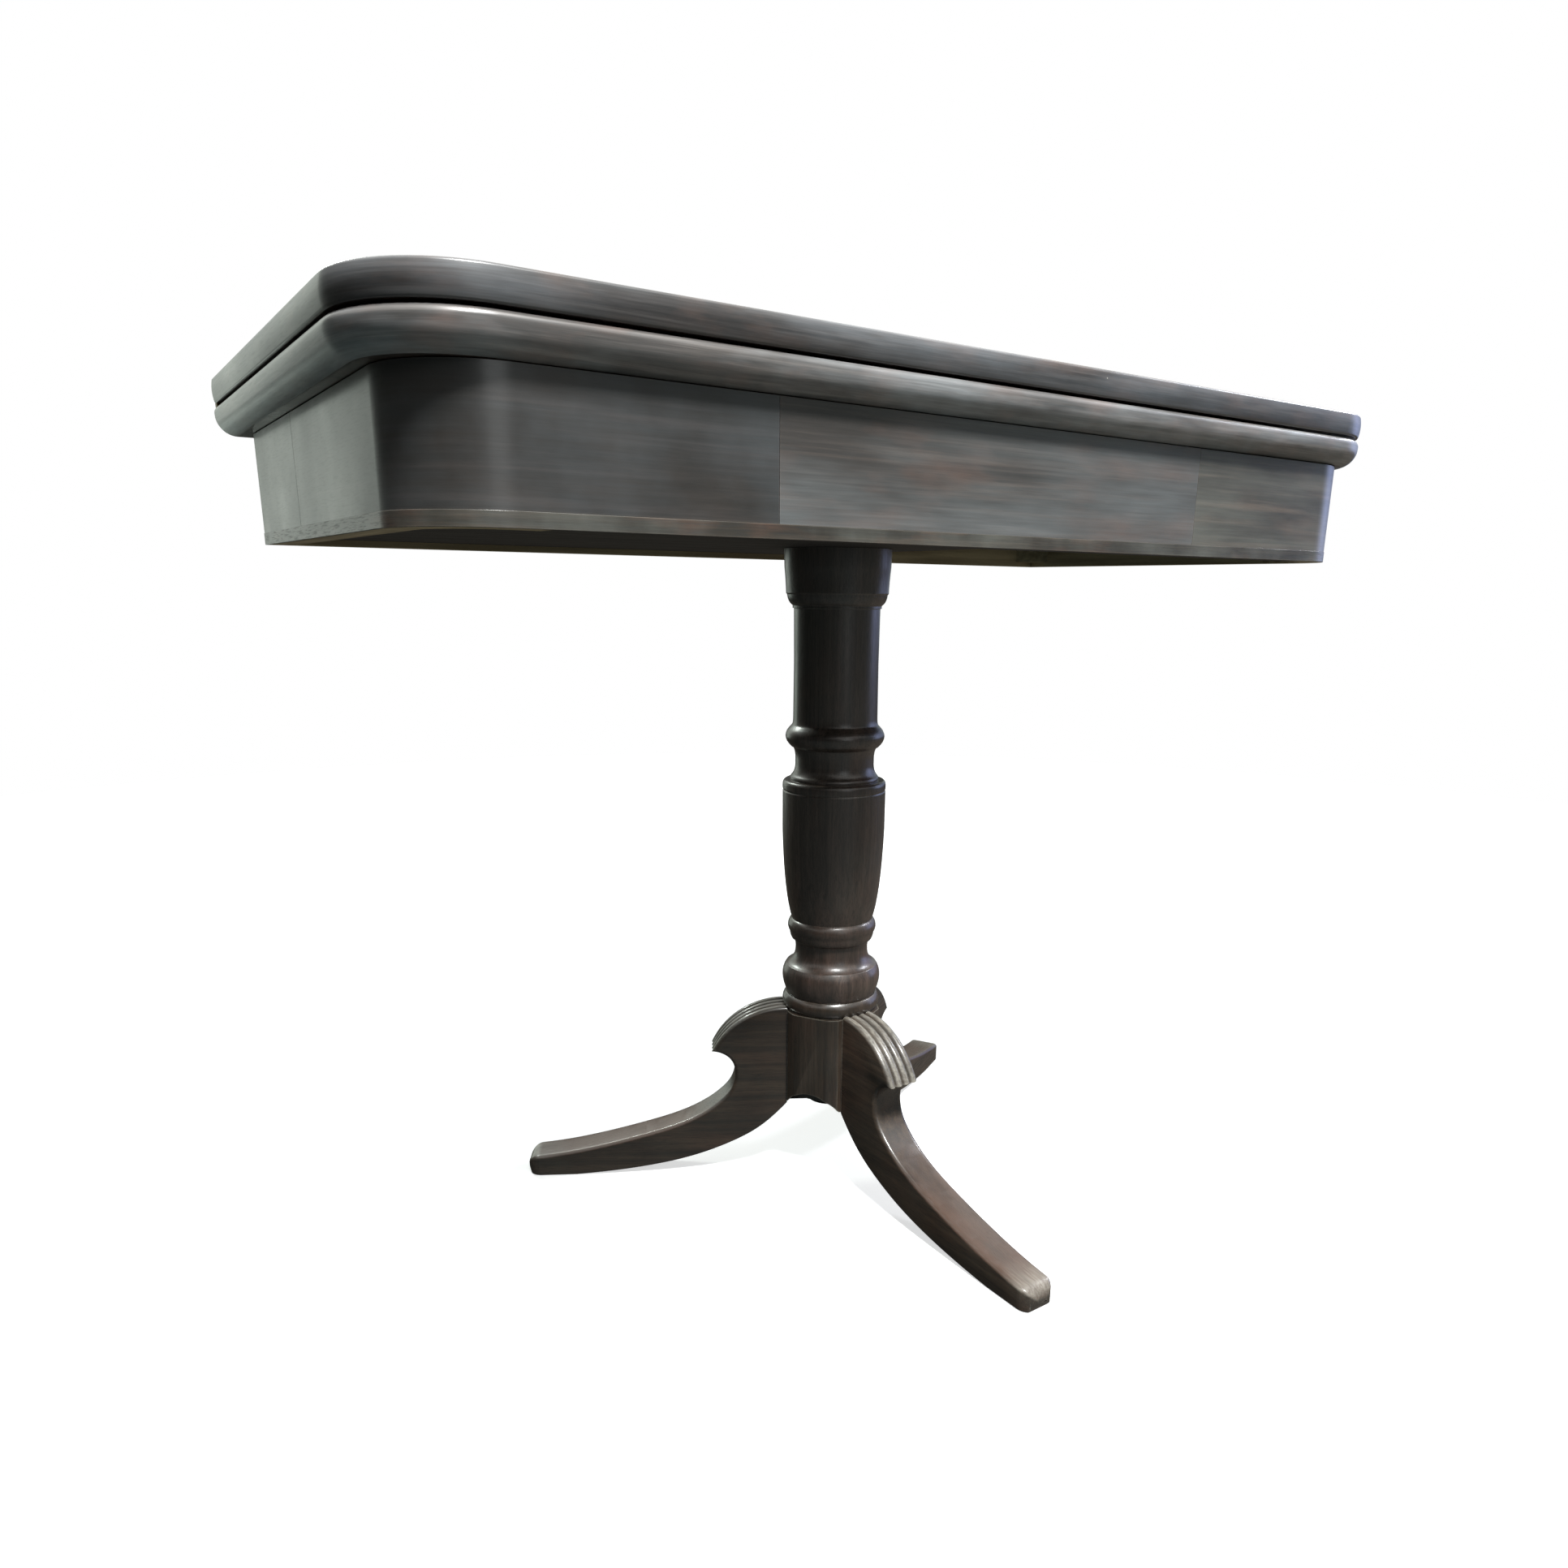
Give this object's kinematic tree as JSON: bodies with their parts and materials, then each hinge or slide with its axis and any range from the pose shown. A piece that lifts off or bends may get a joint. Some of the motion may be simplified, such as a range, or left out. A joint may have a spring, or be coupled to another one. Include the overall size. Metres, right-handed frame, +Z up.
{
  "type": "folding card table",
  "caption": "Fold-over pedestal card table with a swivelling two-leaf top, a veneered frieze with a card well, a turned column and three reeded sabre legs.",
  "frame": {"origin": "on the floor, under the middle of the closed table's bounding box", "axes": "+X along the long front edge, to the right seen from the front; +Y towards the hinged back edge; +Z up"},
  "size_m": [0.914, 0.5277, 0.724],
  "materials": {
    "show_mahogany": "French-polished mahogany, worn",
    "turned_mahogany": "dark waxed mahogany, worn on the feet",
    "carcase_pine": "bare aged pine",
    "baize": "green wool baize",
    "hinge_brass": "aged brass",
    "iron": "dull black iron",
    "steel": "darkened steel"
  },
  "bodies": {
    "base": {"column": "turned_mahogany", "tripod_hub": "turned_mahogany", "leg_front": "turned_mahogany", "leg_right": "turned_mahogany", "leg_left": "turned_mahogany", "tripod_plate": "iron", "tripod_plate_screws": "steel", "column_bearer": "carcase_pine", "front_rail": "carcase_pine", "back_rail": "carcase_pine", "left_rail": "carcase_pine", "right_rail": "carcase_pine", "corner_block_left": "carcase_pine", "corner_block_right": "carcase_pine", "well_floor": "carcase_pine", "well_divider": "carcase_pine", "glue_blocks": "carcase_pine", "pivot_rail": "carcase_pine", "slide_baize_strips": "baize", "frieze_strip": "show_mahogany", "front_veneer_left": "show_mahogany", "front_veneer_centre": "show_mahogany", "front_veneer_right": "show_mahogany", "side_veneer_left": "show_mahogany", "side_veneer_right": "show_mahogany"},
    "lower_leaf": {"lower_leaf": "show_mahogany", "lower_baize": "baize", "hinge_lower_plate_left": "hinge_brass", "hinge_lower_plate_right": "hinge_brass", "hinge_pin_left": "hinge_brass", "hinge_pin_right": "hinge_brass", "hinge_screws_lower": "hinge_brass", "pivot_plate": "iron", "pivot_plate_screws": "steel", "pivot_bolt": "steel", "pivot_washer": "steel", "pivot_nut": "steel", "stop_block": "carcase_pine", "stop_block_screws": "steel"},
    "upper_leaf": {"upper_leaf": "show_mahogany", "upper_baize": "baize", "hinge_upper_plate_left": "hinge_brass", "hinge_upper_plate_right": "hinge_brass", "hinge_screws_upper": "hinge_brass"}
  },
  "joints": [
    {"name": "top_swivel", "type": "hinge", "parent": "base", "child": "lower_leaf", "pos_m": [0.11425, 0.1454, 0.6814], "axis": [0, 0, 1], "range_deg": [0, 90]},
    {"name": "leaf_fold", "type": "hinge", "parent": "lower_leaf", "child": "upper_leaf", "pos_m": [0, 0.25985, 0.7042], "axis": [-1, 0, 0], "range_deg": [0, 180]}
  ]
}
